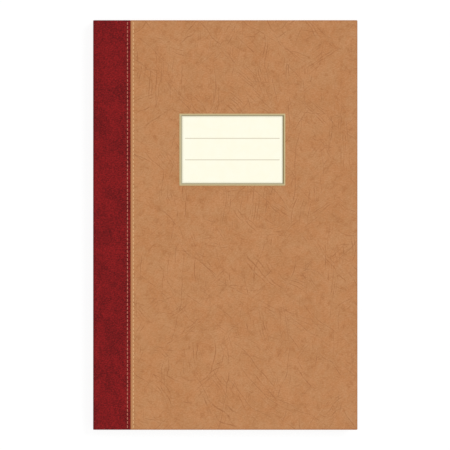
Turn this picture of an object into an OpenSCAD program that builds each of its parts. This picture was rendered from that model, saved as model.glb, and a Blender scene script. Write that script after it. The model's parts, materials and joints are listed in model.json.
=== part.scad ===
// Hardcover notebook, quarter bound, lying closed on its back cover.
// X runs from the spine to the fore edge, Y to the head, Z up through the front cover.

/* [Covers] */
// Width from the spine face to the fore edge
cover_w = 213; // [180:1:260]
// Height from the tail to the head
cover_h = 330; // [240:1:400]
// Thickness of the grey boards
board_t = 2; // [1.5:0.1:3]
// Thickness of the tan and red covering
wrap_t = 0.3; // [0.25:0.05:0.5]
// Width of the covering folded in over the board edges
turn_in = 15; // [8:1:25]
// Overhang of the covers past the leaves
square = 3; // [2:0.5:6]

/* [Spine and joints] */
// Radius of the rounded spine shoulders, whose centres are the joint axes
shoulder_r = 2; // [1.5:0.1:3]
// Width of the pressed groove between shoulder and board
groove_w = 6.5; // [4:0.5:9]
// Depth of the pressed groove
groove_d = 0.6; // [0.2:0.1:1]
// Thickness of the card strip inside the spine
inlay_t = 0.6; // [0.4:0.1:1]
// Play between the spine's folded-in ends and the lining
back_clear = 0.1; // [0.1:0.05:0.4]
// Thickness of the kraft lining
lining_t = 0.15; // [0.1:0.05:0.3]
// Bare length of the block at each end of the lining
lining_margin = 5; // [2:1:15]
// Width of the gauze glued to each board
mull_flap = 20; // [10:1:30]
// Distance from the folded-in covering to the gauze
mull_clear = 3; // [1:0.5:8]

/* [Seam and stitches] */
// Distance from the spine face to the seam of red and tan
seam_x = 30.2; // [24:0.1:45]
// Distance from the seam to the stitches on the red
red_row = 2.5; // [1.5:0.1:5]
// Distance from the seam to the stitches on the tan
tan_row = 2.3; // [1.5:0.1:5]
// Distance from one stitch to the next
stitch_pitch = 3.28; // [2.8:0.02:5]
// Length of one stitch
stitch_l = 2.3; // [1.5:0.1:2.6]
// Width of the thread of a stitch
stitch_w = 0.8; // [0.4:0.1:1.2]
// Depth of the channel that the stitches lie in
channel_d = 0.2; // [0.1:0.05:0.2]
// Least bare length at each end of a row
row_margin = 0.8; // [0.2:0.1:5]

/* [Label] */
// Width of the label over its frame
label_w = 85.4; // [50:0.1:100]
// Height of the label over its frame
label_h = 58; // [30:0.1:80]
// Distance from the spine face to the label's middle
label_x = 112.2; // [90:0.1:125]
// Distance from the head to the label's middle
label_y = 104.3; // [60:0.1:150]
// Width of the label's frame
frame_w = 2; // [1:0.1:5]
// Thickness of the label's frame
frame_t = 0.25; // [0.15:0.05:0.5]
// Thickness of the label's card
card_t = 0.1; // [0.05:0.05:0.15]

/* [Book block] */
// Leaves in a section
section_leaves = 8; // [4:4:12]
// Thickness of a leaf
leaf_t = 0.09; // [0.07:0.01:0.12]
// Thickness of the endpapers
endpaper_t = 0.15; // [0.1:0.01:0.25]
// Air between neighbouring sections
air = 0.05; // [0.04:0.01:0.15]
// Air between pastedown and flyleaf
end_air = 0.1; // [0.08:0.01:0.2]
// Play round each leaf's bending edge
bend_clear = 0.1; // [0.05:0.05:0.2]
// Rise of the leaves over the covers when the notebook lies open
open_rise = 0.1; // [0.05:0.05:0.4]

/* [Sewing and bands] */
// Thickness of the sewing thread
thread_d = 0.35; // [0.2:0.05:0.5]
// Play of the thread in its kerf
thread_clear = 0.05; // [0.02:0.01:0.1]
// Distance from head and tail to the end sewing stations
station_margin = 27; // [15:1:40]
// Radius of the bead on the bands
bead_r = 0.9; // [0.6:0.1:1.2]
// Depth that the bead is worked into its tape
bead_seat = 0.05; // [0.02:0.01:0.1]
// Distance from the gauze to the bands' tapes
tape_clear = 2; // [0.5:0.5:5]

/* [Hidden] */
section_count = 12;
half_count = section_count / 2;
station_count = 6;
groove_steps = 16;
cut = 1;
$fn = 64;

half_h = cover_h / 2;
page_half = half_h - square;
page_x = cover_w - square;
board_x = shoulder_r + groove_w;
board_z = wrap_t + board_t;
mid_board = board_z - board_t / 2;
inside_z = board_z + wrap_t;
cover_t = inside_z + endpaper_t;
fly_z = cover_t + end_air;
first_z = fly_z + endpaper_t + air;
section_t = section_leaves * leaf_t;
section_pitch = section_t + air;
block_t = section_count * section_pitch - air;
total_t = 2 * first_z + block_t;
inlay_x = wrap_t + inlay_t;
lining_x = inlay_x + wrap_t + back_clear;
mull_x = lining_x + lining_t;
mull_t = wrap_t;
fold_x = mull_x + mull_t;
mull_half = half_h - turn_in - mull_clear;

RED = "#7a1e20";
TAN = "#bb8358";
GREY = "#8c8880";
PAPER = "#f4efe2";
GAUZE = "#ddd6c4";
KRAFT = "#a98455";
CREAM = "#fffde8";
KHAKI = "#b3a577";

function section_name(i) = str("section_", i < 10 ? "0" : "", i);
function layer_z(k) = first_z + k * section_pitch;
// Each layer bends where it meets the 45 degree line through the joint axis.
function bend_x(z) = z + open_rise;

SIDE_NODES = ["board", "side_cover", "quarter_cover", "red_stitches", "tan_stitches",
              "mull_flap", "pastedown", "joint_cover", "mull_hinge", "endpaper_hinge", "flyleaf"];
SPINE_NODES = ["spine_inlay", "spine_cover", "spine_lining", "mull", "endpaper_folds",
               "section_folds", "sewing_thread", "head_band", "tail_band"];

// Moves the spine face from x = 0 to its place, with the covers centred on the origin.
module place() {
    translate([-cover_w / 2, 0, 0]) children();
}

// Turns a back half into the matching front half.
module flipped() {
    translate([0, 0, total_t]) mirror([0, 0, 1]) children();
}

module on_side(front) {
    place() if (front) flipped() children();
    else children();
}

module slab(x0, x1, half_y, z0, z1) {
    translate([x0, -half_y, z0]) cube([x1 - x0, 2 * half_y, z1 - z0]);
}

// Carries an X-Z outline along Y, over half_y on each side of the middle.
module along_y(half_y) {
    rotate([90, 0, 0]) linear_extrude(height = 2 * half_y, center = true) children();
}

module row_of_stitches(x) {
    count = floor((cover_h - 2 * row_margin - stitch_l) / stitch_pitch) + 1;
    bar = stitch_l - stitch_w;
    for (i = [0:count - 1])
        translate([x, (i - (count - 1) / 2) * stitch_pitch, 0])
            linear_extrude(channel_d) {
                square([stitch_w, bar], center = true);
                translate([0, bar / 2]) circle(d = stitch_w);
                translate([0, -bar / 2]) circle(d = stitch_w);
            }
}

module stitch_channel(x) {
    slab(x - stitch_w / 2, x + stitch_w / 2, half_h + cut, -cut, channel_d);
}

module board(front) {
    color(GREY) on_side(front)
        slab(board_x, cover_w - wrap_t, half_h - wrap_t, wrap_t, board_z);
}

// Tan covering of a board, folded in at head, tail and fore edge.
module side_cover(front) {
    color(TAN) on_side(front) difference() {
        slab(seam_x, cover_w, half_h, 0, inside_z);
        slab(seam_x - cut, cover_w - wrap_t, half_h - wrap_t, wrap_t, board_z);
        slab(seam_x - cut, cover_w - turn_in, half_h - turn_in, mid_board, inside_z + cut);
        stitch_channel(seam_x + tan_row);
    }
}

// Red covering of a board's spine edge, folded in at head and tail.
module quarter_cover(front) {
    color(RED) on_side(front) difference() {
        slab(board_x, seam_x, half_h, 0, inside_z);
        slab(board_x - cut, seam_x + cut, half_h - wrap_t, wrap_t, board_z);
        slab(board_x - cut, seam_x + cut, half_h - turn_in, mid_board, inside_z + cut);
        stitch_channel(seam_x - red_row);
    }
}

module red_stitches(front) {
    color("#b4766a") on_side(front) row_of_stitches(seam_x - red_row);
}

module tan_stitches(front) {
    color("#d4a576") on_side(front) row_of_stitches(seam_x + tan_row);
}

module mull_flap(front) {
    color(GAUZE) on_side(front)
        slab(board_x, board_x + mull_flap, mull_half, board_z, board_z + mull_t);
}

// Endpaper glued to the board, sunk between the folded-in edges.
module pastedown(front) {
    color(PAPER) on_side(front) {
        slab(board_x, page_x, page_half, inside_z, cover_t);
        slab(board_x + mull_flap, cover_w - turn_in, half_h - turn_in, board_z, inside_z);
    }
}

// Red covering round the spine's shoulder and through the groove to the board.
module joint_cover(front) {
    function groove_z(t) = groove_d * (1 - cos(360 * t)) / 2;
    outer = [for (i = [0:groove_steps]) [shoulder_r + groove_w * i / groove_steps, groove_z(i / groove_steps)]];
    inner = [for (i = [groove_steps:-1:0]) outer[i] + [0, wrap_t]];
    color(RED) on_side(front) along_y(half_h) {
        polygon(concat(outer, inner));
        translate([shoulder_r, shoulder_r]) intersection() {
            difference() {
                circle(shoulder_r);
                circle(shoulder_r - wrap_t);
            }
            translate([-shoulder_r, -shoulder_r]) square(shoulder_r);
        }
    }
}

module mull_hinge(front) {
    color(GAUZE) on_side(front) slab(mull_x, board_x, mull_half, board_z, board_z + mull_t);
}

module endpaper_hinge(front) {
    color(PAPER) on_side(front) slab(fold_x, board_x, page_half, inside_z, cover_t);
}

// Loose part of one layer of the block, with a round bending edge at its outer face.
module leaf_outline(z, t) {
    translate([bend_x(z), z]) {
        square([page_x - bend_x(z), t]);
        intersection() {
            circle(t);
            translate([-t, 0]) square(t);
        }
    }
}

module flyleaf(front) {
    color(PAPER) on_side(front) along_y(page_half) leaf_outline(fly_z, endpaper_t);
}

module section(i) {
    front = i <= half_count;
    layer = front ? i - 1 : section_count - i;
    color(PAPER) on_side(front) along_y(page_half) leaf_outline(layer_z(layer), section_t);
}

module label_place() {
    on_side(true) translate([label_x, half_h - label_y, 0]) children();
}

module label_frame() {
    color(KHAKI) label_place() difference() {
        translate([-label_w / 2, -label_h / 2, -frame_t]) cube([label_w, label_h, frame_t]);
        translate([frame_w - label_w / 2, frame_w - label_h / 2, -frame_t - cut])
            cube([label_w - 2 * frame_w, label_h - 2 * frame_w, frame_t + 2 * cut]);
    }
}

module label_card() {
    color(CREAM) label_place()
        translate([frame_w - label_w / 2, frame_w - label_h / 2, -card_t])
            cube([label_w - 2 * frame_w, label_h - 2 * frame_w, card_t]);
}

module spine_inlay() {
    color(GREY) place() slab(wrap_t, inlay_x, half_h - wrap_t, shoulder_r, total_t - shoulder_r);
}

// Red covering of the spine's face, folded in at head and tail.
module spine_cover() {
    color(RED) place() difference() {
        slab(0, inlay_x + wrap_t, half_h, shoulder_r, total_t - shoulder_r);
        slab(wrap_t, inlay_x, half_h - wrap_t, shoulder_r - cut, total_t);
        slab(inlay_x - inlay_t / 2, lining_x, half_h - turn_in, shoulder_r - cut, total_t);
    }
}

module spine_lining() {
    color(KRAFT) place() slab(lining_x, mull_x, page_half - lining_margin, first_z, total_t - first_z);
}

module mull() {
    color(GAUZE) place() slab(mull_x, fold_x, mull_half, inside_z, total_t - inside_z);
}

module endpaper_folds() {
    color(PAPER) for (front = [false, true]) on_side(front) along_y(page_half) difference() {
        translate([fold_x, cover_t]) square([bend_x(fly_z) - fold_x, end_air + endpaper_t]);
        translate([bend_x(fly_z), fly_z]) circle(endpaper_t + bend_clear);
    }
}

// Sewn folds of the sections, rounded at the back and hollowed for the bending edges.
module section_folds() {
    kerf_half = thread_d / 2 + thread_clear;
    color(PAPER) for (front = [false, true]) on_side(front)
        for (k = [0:half_count - 1]) difference() {
            along_y(page_half) difference() {
                translate([fold_x, layer_z(k)]) {
                    translate([section_t / 2, 0]) square([bend_x(layer_z(k)) - fold_x - section_t / 2, section_t]);
                    translate([section_t / 2, section_t / 2]) circle(d = section_t);
                }
                translate([bend_x(layer_z(k)), layer_z(k)]) circle(section_t + bend_clear);
            }
            at_stations() slab(-cut, thread_d + thread_clear, kerf_half, 0, total_t);
        }
}

module at_stations() {
    reach = page_half - station_margin;
    for (i = [0:station_count - 1])
        translate([fold_x, reach * (2 * i / (station_count - 1) - 1), 0]) children();
}

module sewing_thread() {
    color("white") place() at_stations()
        translate([thread_d / 2, 0, first_z]) cylinder(d = thread_d, h = block_t);
}

// Woven band over one end of the block's back: a tape with a bead along its edge.
module band(end) {
    tape_y = mull_half + tape_clear;
    color(RED) place() mirror([0, end, 0]) {
        translate([mull_x, tape_y, first_z]) cube([mull_t, page_half + bead_r - tape_y, block_t]);
        translate([fold_x + bead_r - bead_seat, page_half + bead_r, first_z])
            cylinder(r = bead_r, h = block_t);
    }
}

module head_band() { band(0); }

module tail_band() { band(1); }

for (front = [false, true]) {
    side = front ? "front_" : "back_";
    board(front);
    side_cover(front);
    quarter_cover(front);
    red_stitches(front);
    tan_stitches(front);
    mull_flap(front);
    pastedown(front);
    joint_cover(front);
    mull_hinge(front);
    endpaper_hinge(front);
    flyleaf(front);
}
for (i = [1:section_count])
    section(i);
label_frame();
label_card();
spine_inlay();
spine_cover();
spine_lining();
mull();
endpaper_folds();
section_folds();
sewing_thread();
head_band();
tail_band();
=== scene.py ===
"""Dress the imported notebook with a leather-look case, stitched seam, framed label and sewn leaves."""
import json
import logging
import math
from dataclasses import dataclass
from enum import Enum
from functools import partial, reduce

import bmesh
import bpy
import numpy as np
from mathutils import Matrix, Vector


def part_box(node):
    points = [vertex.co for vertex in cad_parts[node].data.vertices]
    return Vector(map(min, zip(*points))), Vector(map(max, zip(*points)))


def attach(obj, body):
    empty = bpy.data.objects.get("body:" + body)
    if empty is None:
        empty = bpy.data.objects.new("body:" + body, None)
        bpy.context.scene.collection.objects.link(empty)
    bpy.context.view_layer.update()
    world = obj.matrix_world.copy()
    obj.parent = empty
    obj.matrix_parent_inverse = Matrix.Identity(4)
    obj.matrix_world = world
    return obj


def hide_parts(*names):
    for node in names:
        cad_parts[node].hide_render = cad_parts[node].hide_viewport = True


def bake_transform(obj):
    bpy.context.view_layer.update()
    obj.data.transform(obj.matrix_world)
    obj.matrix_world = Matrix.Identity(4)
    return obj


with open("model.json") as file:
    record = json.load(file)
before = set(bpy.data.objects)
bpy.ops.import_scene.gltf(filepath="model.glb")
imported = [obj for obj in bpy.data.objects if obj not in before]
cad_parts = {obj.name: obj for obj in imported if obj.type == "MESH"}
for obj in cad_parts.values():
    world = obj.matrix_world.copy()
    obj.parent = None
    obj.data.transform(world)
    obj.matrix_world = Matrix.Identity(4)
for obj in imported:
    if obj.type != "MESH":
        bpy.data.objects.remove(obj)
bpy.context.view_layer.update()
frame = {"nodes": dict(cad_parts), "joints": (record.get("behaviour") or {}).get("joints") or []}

LOG = logging.getLogger("notebook")
MM = 0.001
SURFACE = "Surface"  # metric UV map of every new piece, in metres
EDGE_SHADE = "Wear"  # attribute of the coverings, 1 where painted shade darkens rounded edges
CRISP = 40.0  # degrees past which an edge stays crisp
SMOOTH = 180.0  # degrees that no edge goes past
WELD = 0.002 * MM  # points closer than this become one
FINE = 1.6 * MM  # length of the closely divided part of a sheet that bends
MARGIN = 0.5 * MM  # level rim of a plate outside its flat faces
SLIDE = 0.3  # how far a plate's pattern moves on over its upright edge
EDGE_STEPS = 6
CORNER_STEPS = 8
WHITE = (1.0, 1.0, 1.0, 1.0)

Array = np.ndarray
Colour = tuple[int, int, int]
Plan = tuple[float, float]
Point = tuple[float, float, float]
Piece = bpy.types.Object
Socket = bpy.types.NodeSocket
Sockets = bpy.types.NodeOutputs


class Side(Enum):
    """The two covers of the closed notebook; the front one lies on top."""

    FRONT = "front"
    BACK = "back"

    def node(self, name: str) -> str:
        """Name of this cover's solid, such as front_board."""
        return f"{self.value}_{name}"

    @property
    def on_top(self) -> bool:
        """True for the cover whose outer face looks up."""
        return self is Side.FRONT


class Coordinates(Enum):
    """What a pattern follows: the piece's metric UV map, or its place in the row frame."""

    SURFACE = "surface"
    OBJECT = "object"


def joint(name: str) -> dict:
    """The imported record's entry for a joint."""
    return next(entry for entry in frame["joints"] if entry["name"] == name)


@dataclass(frozen=True)
class Sizes:
    """Main planes and lines of the notebook in metres, in the row frame.

    Depths count from a cover's outer face. face is where the coverings lie, and skin is their thickness.
    """

    spine_x: float
    fore_x: float
    half_height: float
    thickness: float
    folded_depth: float
    paper_depth: float
    seam_x: float
    board_x: float
    joint_x: float
    shoulder: float
    gauze_x: float
    gauze_end_x: float
    gauze_half: float
    fold_x: float
    page_x: float
    page_half: float
    face: float = 0.20 * MM
    skin: float = 0.18 * MM

    @classmethod
    def from_frame(cls) -> "Sizes":
        """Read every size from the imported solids.

        Returns:
            The sizes of the notebook.
        """
        side_low, side_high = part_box("back_side_cover")
        leaf_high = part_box("section_12")[1]
        flap_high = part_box("back_mull_flap")[1]
        axis = joint("back_joint")["pos_m"]
        return cls(
            spine_x=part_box("spine_cover")[0].x,
            fore_x=side_high.x,
            half_height=side_high.y,
            thickness=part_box("front_side_cover")[1].z,
            folded_depth=side_high.z,
            paper_depth=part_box("back_pastedown")[1].z,
            seam_x=side_low.x,
            board_x=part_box("back_quarter_cover")[0].x,
            joint_x=axis[0],
            shoulder=axis[2],
            gauze_x=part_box("mull")[0].x,
            gauze_end_x=flap_high.x,
            gauze_half=flap_high.y,
            fold_x=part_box("section_folds")[0].x,
            page_x=leaf_high.x,
            page_half=leaf_high.y,
        )

    def height(self, side: Side, depth: Array | float) -> Array | float:
        """Height above the table of points that lie at a depth below a cover's outer face."""
        return self.thickness - depth if side.on_top else depth


def rise(value: Array, low: float, high: float) -> Array:
    """Cubic step from 0 at low to 1 at high, level outside."""
    t = np.clip((value - low) / (high - low), 0.0, 1.0)
    return t * t * (3.0 - 2.0 * t)


def run_length(points: Array) -> Array:
    """Running length along a line of points of shape (n, d), from 0."""
    return np.concatenate([[0.0], np.cumsum(np.linalg.norm(np.diff(points, axis=0), axis=1))])


def stations(*spans: tuple[float, float, int]) -> Array:
    """Values along a line: each span is a start, an end and its number of steps, joined end to start."""
    runs = [np.linspace(start, end, steps + 1)[:-1] for start, end, steps in spans]
    return np.concatenate([*runs, [spans[-1][1]]])


def quarter(steps: int) -> Array:
    """Angles of a quarter round in equal steps."""
    return np.linspace(0.0, math.pi / 2, steps + 1)


def line(values: Array, level: float) -> Array:
    """Points of a straight line: the values, all at one level."""
    return np.stack([values, np.full_like(values, level)], -1)


def lattice(first: Array, second: Array) -> Array:
    """All pairs of two runs of values, as a grid of shape (n, m, 2)."""
    return np.stack(np.meshgrid(first, second, indexing="ij"), -1)


def raised(plan: Array, height: Array) -> Array:
    """Points over a plan of shape (rows, columns, 2), with one height for each row."""
    return np.concatenate([plan, np.broadcast_to(height[:, None, None], (*plan.shape[:2], 1))], -1)


def folded_path(first: Array, second: Array, levels: tuple[float, float], steps: int) -> Array:
    """Path of a folded sheet: in along one leaf, round the fold on a half circle, out along the other.

    Args:
        first: x values of the first leaf, from its edge to the fold.
        second: x values of the second leaf, from the fold to its edge.
        levels: Heights of the two leaves.
        steps: Steps of the half circle.

    Returns:
        Points of shape (n, 2), x and height.
    """
    middle = (levels[0] + levels[1]) / 2
    half = (levels[1] - levels[0]) / 2
    angles = np.linspace(-math.pi / 2, math.pi / 2, steps + 1)[1:-1]
    turn = np.stack([second[0] - abs(half) * np.cos(angles), middle + half * np.sin(angles)], -1)
    return np.concatenate([line(first, levels[0]), turn, line(second, levels[1])])


@dataclass
class Patch:
    """A grid of surface points with metric surface coordinates, or several grids of one size.

    points has the shape (grids, rows, columns, 3) or (rows, columns, 3), surface the same with 2 at the end.
    The last field is 0 to 1 for each point: how far painted shade darkens a rounded edge there.
    """

    points: Array
    surface: Array
    turned: bool = False
    edge_shade: Array | None = None

    @classmethod
    def carried(cls, path: Array, length: Array, y: Array) -> "Patch":
        """A path in x and height carried along y, with the given length along it as surface u."""
        points = np.stack(np.broadcast_arrays(path[:, :1], y, path[:, 1:]), -1)
        return cls(points, lattice(length, y))

    def quads(self) -> Array:
        """Corner numbers of all quads: each grid cell gives one, turned over where the patch is turned.

        Returns:
            Numbers of shape (quads, 4), counted from the patch's first point.
        """
        rows, columns = self.points.shape[-3:-1]
        grids = self.points.size // (3 * rows * columns)
        place = np.arange(rows * columns).reshape(rows, columns)
        one = np.stack([place[:-1, :-1], place[1:, :-1], place[1:, 1:], place[:-1, 1:]], -1).reshape(-1, 4)
        one = one[:, ::-1] if self.turned else one
        return (np.arange(grids)[:, None, None] * rows * columns + one).reshape(-1, 4)


def make_piece(name: str, patches: list[Patch], finish: "Finish", sharp: float = CRISP) -> Piece:
    """Join patches into one smooth mesh object with a metric UV map.

    Args:
        name: Name of the piece.
        patches: Grids whose shared borders are merged.
        finish: The finish that the piece is dressed in.
        sharp: Angle in degrees past which an edge stays crisp.

    Returns:
        The new object, at the origin.
    """
    counts = [patch.points.size // 3 for patch in patches]
    starts = np.cumsum([0, *counts[:-1]])
    points = np.concatenate([patch.points.reshape(-1, 3) for patch in patches])
    surface = np.concatenate([patch.surface.reshape(-1, 2) for patch in patches])
    quads = np.concatenate([patch.quads() + start for patch, start in zip(patches, starts)])
    mesh = bpy.data.meshes.new(name)
    mesh.from_pydata(points.tolist(), [], quads.tolist())
    corners = np.empty(len(mesh.loops), np.int32)
    mesh.loops.foreach_get("vertex_index", corners)
    layer = mesh.uv_layers.new(name=SURFACE)
    layer.data.foreach_set("uv", surface[corners].astype(np.float32).ravel())
    # the edge attribute says where painted shade darkens rounded edges
    if any(patch.edge_shade is not None for patch in patches):
        edge_shade = np.concatenate([np.zeros(count) if patch.edge_shade is None else patch.edge_shade.ravel()
                               for patch, count in zip(patches, counts)])
        mesh.attributes.new(EDGE_SHADE, "FLOAT", "POINT").data.foreach_set("value", edge_shade.astype(np.float32))
    weld(mesh)
    mesh.polygons.foreach_set("use_smooth", np.ones(len(mesh.polygons), bool))
    mesh.set_sharp_from_angle(angle=math.radians(sharp))
    mesh.materials.append(finish.material())
    piece = bpy.data.objects.new(name, mesh)
    bpy.context.scene.collection.objects.link(piece)
    LOG.info("%s: %d faces", name, len(mesh.polygons))
    return piece


def weld(mesh: bpy.types.Mesh) -> None:
    """Merge points that coincide, so that seams and poles are closed.

    Args:
        mesh: The mesh to change.
    """
    work = bmesh.new()
    work.from_mesh(mesh)
    bmesh.ops.remove_doubles(work, verts=work.verts, dist=WELD)
    bmesh.ops.dissolve_degenerate(work, edges=work.edges, dist=WELD / 2)
    work.to_mesh(mesh)
    work.free()


def thicken(piece: Piece, thickness: float, offset: float = -1.0) -> None:
    """Give a sheet its thickness in its own mesh, so that both faces bend together, with crisp cut edges.

    Args:
        piece: The sheet.
        thickness: Thickness in metres.
        offset: -1 puts it behind the face and 0 to both sides.
    """
    wall = piece.modifiers.new("Thickness", "SOLIDIFY")
    wall.thickness = thickness
    wall.offset = offset
    wall.use_even_offset = True
    graph = bpy.context.evaluated_depsgraph_get()
    sheet = piece.data
    piece.data = bpy.data.meshes.new_from_object(piece.evaluated_get(graph), preserve_all_data_layers=True,
                                                 depsgraph=graph)
    piece.modifiers.clear()
    bpy.data.meshes.remove(sheet)
    piece.data.name = piece.name
    piece.data.set_sharp_from_angle(angle=math.radians(CRISP))


def settle(piece: Piece, body: str, slot: str, *nodes: str) -> None:
    """Let a piece ride on one body, in place of solids.

    Args:
        piece: The finished piece.
        body: The body that carries it.
        slot: Material slot of the record; not used.
        nodes: Solids that the piece stands for.
    """
    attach(piece, body)
    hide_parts(*nodes)


def bend(piece: Piece, bodies: tuple[str, str], ends: tuple[Point, Point], slot: str, *nodes: str) -> None:
    """Bake a piece's placement into its mesh and hide the solids that it stands for.

    Args:
        piece: The finished piece.
        bodies: The body before the bend and the one after it; not used.
        ends: Where the bend starts and where it ends; not used.
        slot: Material slot of the record; not used.
        nodes: Solids that the piece stands for.
    """
    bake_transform(piece)
    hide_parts(*nodes)


@dataclass
class Rim:
    """Columns that a profile is carried along, round the edge of a plate, in plan.

    base is where each column stands, straight the way it moves past a corner's radius and turn the way on
    the arc.
    """

    base: Array
    straight: Array
    turn: Array

    @classmethod
    def along(cls, points: Array, way: Plan) -> "Rim":
        """Columns along a straight side that all face one way."""
        ways = np.broadcast_to(np.array(way, float), points.shape)
        return cls(points, ways, ways)

    @classmethod
    def corner(cls, point: Plan, start: float, end: float) -> "Rim":
        """Columns fanned round one corner.

        Args:
            point: Centre of the corner.
            start: Angle of the first column in degrees.
            end: Angle of the last column in degrees.

        Returns:
            The columns.
        """
        angles = np.radians(np.linspace(start, end, CORNER_STEPS + 1))
        turn = np.stack([np.cos(angles), np.sin(angles)], -1)
        middle = math.radians((start + end) / 2)
        signs = np.sign([math.cos(middle), math.sin(middle)])
        return cls(*(np.broadcast_to(part, turn.shape) for part in (np.array(point, float), signs, turn)))

    @classmethod
    def join(cls, *parts: "Rim") -> "Rim":
        """One run of columns out of several."""
        return cls(*(np.concatenate([getattr(part, name) for part in parts])
                     for name in ("base", "straight", "turn")))

    @classmethod
    def box(cls, low: Plan, high: Plan) -> "Rim":
        """Closed run round a rectangle, anticlockwise from the corner at high.

        Args:
            low: Corner with the lowest values.
            high: Corner with the highest values.

        Returns:
            The columns, with the first one repeated at the end.
        """
        corners = (high, (low[0], high[1]), low, (high[0], low[1]))
        run = cls.join(*(cls.corner(point, 90.0 * i, 90.0 * i + 90.0) for i, point in enumerate(corners)))
        return cls(*(np.concatenate([part, part[:1]]) for part in (run.base, run.straight, run.turn)))

    def plan(self, out: Array, radius: float) -> Array:
        """Plan of a profile: its distances out go along turn up to the radius, and on along straight.

        Args:
            out: Distance out of each point of the profile.
            radius: Radius of the corners.

        Returns:
            Points of shape (profile, columns, 2).
        """
        past = np.maximum(out - radius, 0.0)[:, None, None]
        near = np.minimum(out, radius)[:, None, None]
        return self.base + past * self.straight + near * self.turn


def plate(low: Point, high: Point, edge: float, corner: float) -> list[Patch]:
    """A closed plate with rounded edges: a half-round profile carried round it, and two flat faces.

    Args:
        low: Lowest corner.
        high: Highest corner.
        edge: Radius of the long edges.
        corner: Radius of the corners in plan.

    Returns:
        The plate's patches.
    """
    inset = max(edge, corner) + MARGIN
    inner_low = (low[0] + inset, low[1] + inset)
    inner_high = (high[0] - inset, high[1] - inset)
    angles = quarter(5)
    out_low = inset - edge + edge * np.sin(angles)
    rise_low = low[2] + edge - edge * np.cos(angles)
    out = np.concatenate([[0.0], out_low, out_low[::-1], [0.0]])
    height = np.concatenate([[low[2]], rise_low, (low[2] + high[2] - rise_low)[::-1], [high[2]]])
    plan = Rim.box(inner_low, inner_high).plan(out, corner)
    patches = [Patch(raised(plan, height), plan + SLIDE * height[:, None, None], turned=True)]
    flat = lattice(*np.stack([inner_low, inner_high], -1))
    for level, turned in ((low[2], True), (high[2], False)):
        patches.append(Patch(raised(flat, np.full(2, level)), flat, turned))
    return patches


def linear(colour: Colour) -> tuple[float, float, float, float]:
    """A colour in the linear values that shaders use, by the sRGB curve.

    Args:
        colour: The colour as 8-bit display values.

    Returns:
        Red, green, blue and a full alpha.
    """
    value = np.array(colour, float) / 255.0
    value = np.where(value <= 0.04045, value / 12.92, ((value + 0.055) / 1.055) ** 2.4)
    return (*value.tolist(), 1.0)


@dataclass(frozen=True)
class Tint:
    """A colour that comes in with a value: not at all at low, and with a share at high."""

    low: float
    high: float
    share: float
    tone: Colour


@dataclass(frozen=True)
class Shine:
    """Roughness, fine relief and mirror light of a finish.

    The roughness goes from its first to its second value while what it follows goes over a span. depth is
    the depth of the relief in metres.
    """

    over: Plan
    rough: Plan
    depth: float
    strength: float
    mirror: float


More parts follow.
